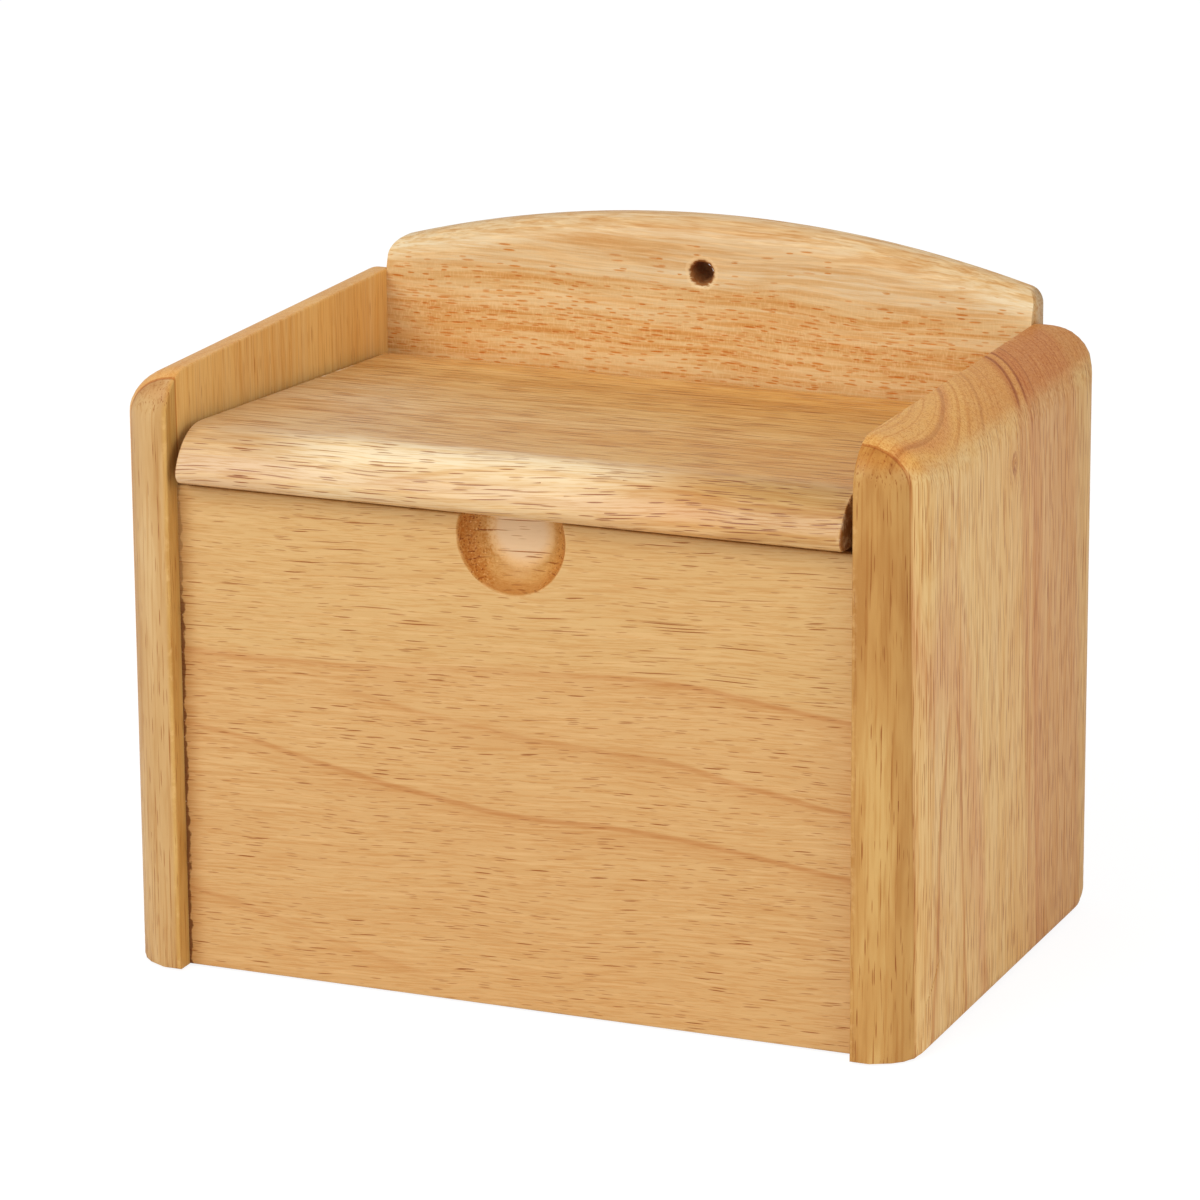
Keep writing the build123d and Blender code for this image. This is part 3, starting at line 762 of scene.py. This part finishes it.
crowded = wood.bands(part, (0.1, 0.1), (0.28, 0.8), (0.45, 1.0), (0.6, 0.6), (0.72, 0.25), (0.85, 0.05))
crowded = wood.both(crowded, wood.fall(wood.through, back_low[1] + 0.2, back_low[1] + 0.9))
rays = wood.node("TexNoise", {"Vector": wood.stretched(0.4, 1.4, 4.4, 6.0), "Scale": 1.0, "Detail": 2.0})
wood.cover(0.4, wood.both(crowded, wood.step(rays, 0.5, 0.62)), paint(242, 208, 154))
hairs = wood.streaks(8, 0.4, 5.5, 0.5, 0.62, 2.0)
wood.stain(0.3, hairs, (0.86, 0.72, 0.54))
skin = wood.sum("MULTIPLY_ADD", wood.through, 0.7, wood.bent)
vessels = wood.sum("MAXIMUM", wood.pores(9.0, 1.2, wood.both(crowded, 0.8), 11.3, 0.2, girth=skin),
                   wood.pores(4.4, 0.9, wood.both(crowded, 0.7), 31.3, 0.24, girth=skin))
wood.stain(1.0, vessels, (0.82, 0.46, 0.18))
wood.stain(0.7, wood.both(crowded, wood.streaks(20, 0.9, 63.1, 0.5, 0.58)), (0.90, 0.70, 0.44))
rounded = wood.step(wood.through, back_low[1] + 0.4, back_low[1] + 1.5)
wood.stain(0.7, wood.both(rounded, wood.streaks(18, 0.8, 17.0, 0.52, 0.6)), (0.84, 0.66, 0.46))
wood.stain(0.9, wood.end, (0.72, 0.62, 0.50))
hole_rise = wood.sum("SUBTRACT", wood.across, HOLE_Z)
from_hole = wood.apart(wood.along, hole_rise)
ragged = wood.node("TexNoise", {"Vector": wood.stretched(1.2, 0.5, 2.2, 3.0), "Scale": 1.0, "Detail": 4.0})
shade_and_fray_reach = wood.sum("MULTIPLY_ADD", ragged, -1.6, from_hole)
# Dark brown inside the hole: painted shade of the hole's depth.
wood.stain(0.95, wood.fall(shade_and_fray_reach, 1.9, 2.4), (0.42, 0.22, 0.10))
wood.cover(0.35, wood.line(shade_and_fray_reach, 2.75, 0.5), paint(244, 214, 164))
wood.edge_wear(paint(240, 208, 156), 0.3)
back_board.data.materials.append(wood.lacquer(vessels, hairs, wood.step(shade_and_fray_reach, 1.9, 2.4, 0.95, 0.42)))
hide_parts("back_board")
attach(back_board, "box")


# Lid: one flat board with its grain level, its nose rounded over on top and eased below,
# its back edge a bullnose that turns on the pins. The ends are sawn and a little chipped.
lid_high = span("lid")[1]
LID_THICK, NOSE_TOP, NOSE_UNDER, LID_EASE = 12.0, 12.0, 2.5, 0.4
NOSE_Y, END_GIRTH, FIGURE_GIRTH = -59.75, 90.0, 118.0
lid_slope = radians(3.8)
joints = {joint["name"]: joint for joint in frame["record"]["behaviour"]["joints"]}
hinge = np.array(joints["lid_hinge"]["pos_m"]) * PER_METRE
half_thick = LID_THICK / 2
reach_to_nose = (hinge[1] - NOSE_Y) / cos(lid_slope)


def arc(centre, radius, start, stop, count):
    """Points on a circle about centre from one angle to another."""
    angles = np.linspace(start, stop, count)
    return np.array(centre) + radius * np.stack([np.cos(angles), np.sin(angles)], -1)


def lid_halves(inset):
    """Upper and lower edge of the lid's section from the hinge side to the nose, inset by one amount."""
    small = half_thick - inset
    hub = np.array([reach_to_nose - NOSE_TOP, half_thick - NOSE_TOP])
    under_z = NOSE_UNDER - half_thick
    under_x = hub[0] + np.sqrt((NOSE_TOP - NOSE_UNDER) ** 2 - (under_z - hub[1]) ** 2)
    meet = np.arctan2(under_z - hub[1], under_x - hub[0])
    run = np.linspace(0, hub[0], 28)[1:-1]
    run_back = np.linspace(under_x, 0, 28)[1:-1]
    upper = np.concatenate([arc((0, 0), small, pi, pi / 2, 15), np.stack([run, np.full_like(run, small)], -1),
                            arc(hub, NOSE_TOP - inset, pi / 2, meet, 19)])
    lower = np.concatenate([arc((under_x, under_z), NOSE_UNDER - inset, meet, -pi / 2, 19),
                            np.stack([run_back, np.full_like(run_back, -small)], -1),
                            arc((0, 0), small, -pi / 2, -pi, 15)])[::-1]
    return upper, lower


ease_angles = np.linspace(0, pi / 2, 5)
end_stations = [(lid_high[0] - LID_EASE * (1 - sin(a)), LID_EASE * (1 - cos(a))) for a in ease_angles]
straight = np.linspace(-(lid_high[0] - 1.2), lid_high[0] - 1.2, 40)
stations = [(-x, inset) for x, inset in end_stations[::-1]] + [(x, 0.0) for x in straight] + end_stations
loops = []
for x, inset in stations:
    upper, lower = lid_halves(inset)
    loops.append(np.concatenate([upper, lower[::-1]]))
loops = np.array(loops)
count = loops.shape[1]
steps = np.linalg.norm(np.diff(loops[len(loops) // 2], axis=0), axis=1)
girth = np.tile(np.concatenate([[0.0], np.cumsum(steps)]), len(loops))
half = count // 2
end_rows = [0.25, 0.5, 0.75]


def lid_points(section, x):
    """Section points turned by the lid's slope about the hinge line and set at x."""
    forward, up = section[..., 0], section[..., 1]
    y = hinge[1] - forward * cos(lid_slope) + up * sin(lid_slope)
    z = hinge[2] + forward * sin(lid_slope) + up * cos(lid_slope)
    return np.stack([np.broadcast_to(x, y.shape), y, z], -1)


points = [lid_points(loops[i], stations[i][0]) for i in range(len(stations))]
body = np.concatenate(points)
quads = grid_quads(len(stations), count)
extra_points, extra_quads = [], []
offset = len(body)
for row in (0, len(stations) - 1):
    ring = points[row]
    upper, lower = ring[:half], ring[half:][::-1]
    strips = np.stack([upper + (lower - upper) * s for s in [0, *end_rows, 1]])
    rows, columns = strips.shape[:2]
    r, c = np.meshgrid(np.arange(rows - 1), np.arange(columns - 1), indexing="ij")
    extra_quads.append(offset + np.stack([r * columns + c, r * columns + c + 1, (r + 1) * columns + c + 1,
                                          (r + 1) * columns + c], -1).reshape(-1, 4))
    extra_points.append(strips.reshape(-1, 3))
    offset += rows * columns
points = np.concatenate([body, *extra_points])
girth = np.concatenate([girth, np.full(len(points) - len(body), END_GIRTH)])
arris = np.clip(1 - (lid_high[0] - np.abs(points[:, 0])) / 0.8, 0, 1)
lid = close_up(fill_mesh("lid_dressed", points, np.concatenate([quads, *extra_quads]), arris=arris,
                         girth=girth))

wood = Wood("lid_rubberwood", (0, 1, 2), slant=-0.02, wave=0.5, seed=22.0)
line = wood.sum("MULTIPLY_ADD", wood.drift, 14.0, wood.sum("MULTIPLY_ADD", wood.through, 0.3, wood.across))
part = wood.node("MapRange", {0: line, 1: -30.0, 2: 85.0})
wood.colour = wood.bands(
    part,
    (0.00, 226, 180, 126), (0.12, 218, 171, 112), (0.22, 216, 177, 120),
    (0.36, 215, 172, 113), (0.46, 219, 181, 127), (0.58, 216, 178, 121),
    (0.70, 214, 170, 105), (0.80, 206, 157, 88), (0.88, 226, 181, 108),
    (1.0, 224, 178, 106))
wood.stain(0.9, wood.step(wood.along, -30.0, 70.0), (1.0, 0.89, 0.66))
wood.stain(0.9, wood.fall(wood.along, -75.0, -20.0), (1.03, 1.12, 1.40))
nose = wood.fall(wood.across, -52.0, -46.0)
middle = wood.both(wood.step(wood.along, -62.0, -34.0), wood.fall(wood.along, 8.0, 46.0))
wood.stain(0.9, nose, (0.84, 0.85, 0.83))
around = wood.node("Attribute", {}, out="Fac", attribute_name="girth")
# Painted highlight on the nose: a pale band over its middle and a brighter strip along its upper curve.
painted_nose_highlight = wood.both(middle, wood.step(around, 100.0, 107.0), wood.fall(around, 110.5, 115.5))
wood.cover(0.5, wood.both(nose, middle), paint(223, 202, 160))
wood.cover(0.7, painted_nose_highlight, paint(252, 232, 194))
wood.stain(0.9, wood.both(nose, wood.step(wood.along, 34.0, 62.0)), (0.85, 0.92, 0.97))
lid_share = wood.node("MapRange", {0: wood.along, 1: -76.0, 2: 76.0})
rise = wood.bands(lid_share, (0.28, 0.0), (0.4, 0.6), (0.5, 0.85), (0.64, 0.85), (0.8, 0.6), (1.0, 0.5),
                  how="B_SPLINE")
figure = wood.sum("MULTIPLY_ADD", rise, 10.0, around)
drawn = wood.step(lid_share, 0.26, 0.36)
wood.stain(0.7, wood.both(drawn, wood.line(figure, FIGURE_GIRTH, 0.9)), (0.88, 0.72, 0.52))
wood.stain(0.5, wood.both(drawn, wood.step(figure, FIGURE_GIRTH, FIGURE_GIRTH + 1)), (0.96, 0.86, 0.74))
wood.bent = wood.sum("MULTIPLY_ADD", wood.drift, 5.0, wood.sum("MULTIPLY_ADD", wood.along, 0.05, around))
wood.through = 0.0
top = wood.sum("SUBTRACT", 1.0, nose)
wood.stain(0.6, wood.both(top, wood.streaks(70, 6.0, 3.1, 0.42, 0.6)), (0.90, 0.78, 0.62))
wood.stain(0.65, wood.both(top, wood.streaks(34, 2.0, 13.1, 0.5, 0.6)), (0.84, 0.68, 0.50))
wood.stain(0.7, wood.both(top, wood.streaks(18, 1.0, 43.1, 0.52, 0.6)), (0.78, 0.60, 0.42))
wood.stain(0.5, wood.both(nose, wood.streaks(40, 1.6, 3.1)), (0.86, 0.72, 0.50))
wood.cover(0.35, wood.streaks(36, 2.0, 9.4, 0.52, 0.66), paint(238, 202, 146))
hairs = wood.streaks(10, 0.4, 5.5, 0.5, 0.6, 2.0)
wood.stain(0.6, hairs, (0.84, 0.68, 0.44))
to_right = wood.step(wood.along, -10.0, 50.0)
fewer, more = wood.sum("MULTIPLY_ADD", to_right, -0.25, 0.75), wood.sum("MULTIPLY_ADD", to_right, 0.4, 0.3)
long_vessels = wood.pores(26.0, 0.75, fewer, 11.3, 0.2, girth=wood.bent)
short_vessels = wood.pores(10.0, 0.65, more, 27.1, 0.22, girth=wood.bent)
top_vessels = wood.sum("MAXIMUM", wood.pores(30.0, 2.2, 0.8, 37.3, 0.2, girth=wood.bent),
                       wood.pores(16.0, 1.3, 0.7, 47.3, 0.22, girth=wood.bent))
vessels = wood.sum("MAXIMUM", wood.both(nose, wood.sum("MAXIMUM", long_vessels, short_vessels)),
                   wood.both(top, top_vessels, 0.8))
wood.stain(1.0, vessels, (0.42, 0.18, 0.04))
# The lid's end grain, much darker than its faces: its own deeper colour with painted shade of the narrow gaps
# beside the panels.
wood.stain(0.9, wood.end, (0.50, 0.30, 0.16))
chips = wood.noise(700.0, 3.0)
at_left = wood.both(wood.fall(wood.along, -lid_high[0] + 0.3, -lid_high[0] + 1.3),
                    wood.step(wood.across, 8.0, 12.0), wood.fall(wood.across, 24.0, 30.0))
wood.cover(0.9, wood.both(at_left, wood.step(chips, 0.5, 0.56), wood.sum("SUBTRACT", 1.0, wood.end)),
           paint(250, 238, 214))
wood.edge_wear(paint(240, 210, 162), 0.5)
lid.data.materials.append(wood.lacquer(vessels, hairs, roughness=0.3, shine=0.42))
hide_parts("lid")
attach(lid, "lid")


# Bottom board: a thin sheet of birch plywood with its plies showing at the edges.
# It is sanded and slipped dry into the groove around the foot of the box.
def coat(node, material):
    """Gives a CAD node that keeps its shape a finish."""
    frame["nodes"][node].data.materials.clear()
    frame["nodes"][node].data.materials.append(material)


wood = Wood("birch_plywood", (0, 1, 2), wave=0.8, seed=41.0)
wood.colour = wood.bands(wood.streaks(60, 9.0, 2.0, 0.3, 0.7), (0.0, 208, 176, 132),
                         (0.5, 218, 188, 144), (1.0, 226, 200, 158))
hairs = wood.streaks(14, 0.6, 5.5, 0.5, 0.62, 2.0)
wood.stain(0.4, hairs, (0.86, 0.76, 0.62))
place = wood.node("TexCoord", {}, out="Object")
plies = wood.node("TexWave", {"Vector": place, "Scale": 190.0, "Distortion": 0.2}, out="Fac",
                  bands_direction="Z")
upright = wood.node("SeparateXYZ", {0: wood.node("NewGeometry", {}, out="Normal")}, out=2)
edge = wood.fall(wood.sum("ABSOLUTE", upright), 0.3, 0.7)
wood.stain(0.8, wood.both(edge, plies), (0.62, 0.5, 0.38))
vessels = wood.pores(5.0, 0.7, 0.25, 11.3, 0.2)
wood.stain(0.5, vessels, (0.7, 0.58, 0.44))
coat("bottom_board", wood.lacquer(vessels, hairs, 0.6, 0.03))


# Hinge pins: two lengths of plain drawn steel rod with chamfered ends.
# They are pressed into the side panels, and the lid turns on them.
finish = Finish("drawn_steel")
place = finish.node("TexCoord", {}, out="Object")
drawn = finish.node("Mapping", {"Vector": place, "Scale": (60, 4000, 4000)})
scratches = finish.node("TexNoise", {"Vector": drawn, "Scale": 1.0, "Detail": 3.0})
rough = finish.node("MapRange", {0: scratches, 1: 0.3, 2: 0.7, 3: 0.28, 4: 0.46})
steel = finish.close(finish.node("BsdfPrincipled", {
    "Base Color": paint(186, 186, 190), "Metallic": 1.0, "Roughness": rough}))
for side in ("left", "right"):
    coat("hinge_pin_" + side, steel)


# Dowels: lengths of turned beech rod with chamfered ends.
# They are glued across the joints, out of sight between the boards.
wood = Wood("beech_dowel", (0, 1, 2), wave=0.0, seed=51.0)
wood.colour = wood.bands(wood.streaks(20, 1.5, 2.0), (0.0, 206, 164, 116), (1.0, 222, 184, 138))
flecks = wood.pores(2.0, 0.4, 0.8, 11.3)
wood.stain(0.6, flecks, (0.7, 0.54, 0.4))
beech = wood.lacquer(flecks, flecks, 0.7, 0.02)
for node in frame["nodes"]:
    if node.startswith("dowel_"):
        coat(node, beech)
